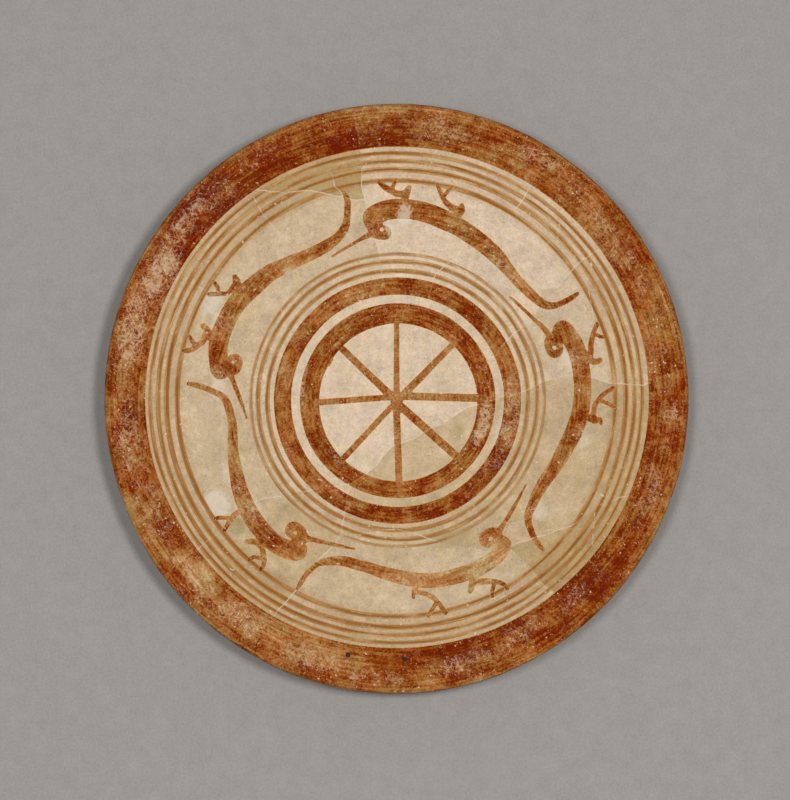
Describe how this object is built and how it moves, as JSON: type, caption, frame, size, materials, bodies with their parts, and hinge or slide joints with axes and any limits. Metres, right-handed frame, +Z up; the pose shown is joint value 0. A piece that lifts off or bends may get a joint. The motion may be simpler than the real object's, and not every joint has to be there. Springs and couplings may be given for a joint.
{
  "type": "painted footed plate",
  "caption": "Wide, shallow wheel-thrown earthenware plate on a low ring foot, with a flat rim, painted rings and wading birds, mended from sherds.",
  "frame": {"origin": "centre of the circle on which the ring foot rests", "axes": "+Z up out of the painted side, along the axis the plate was thrown on; +Y from the two hanging holes towards the far rim; +X to the right of that as the painted side is looked at"},
  "size_m": [0.298, 0.302, 0.039],
  "materials": {
    "painted_clay": "pale fired clay with red-brown slip paint, matt and worn",
    "toned_plaster": "matt toned plaster",
    "foot_clay": "bare fired clay, matt"
  },
  "bodies": {
    "root": {"sherd_left": "painted_clay", "sherd_upper_left": "painted_clay", "sherd_top": "painted_clay", "sherd_upper_right": "painted_clay", "sherd_inner_right": "painted_clay", "sherd_right": "painted_clay", "sherd_lower_right": "painted_clay", "sherd_lower_left": "painted_clay", "sherd_bottom_left": "painted_clay", "sherd_bottom": "painted_clay", "sherd_bottom_right": "painted_clay", "plaster_fill": "toned_plaster", "foot_left": "foot_clay", "foot_lower": "foot_clay", "foot_right": "foot_clay"}
  },
  "joints": []
}
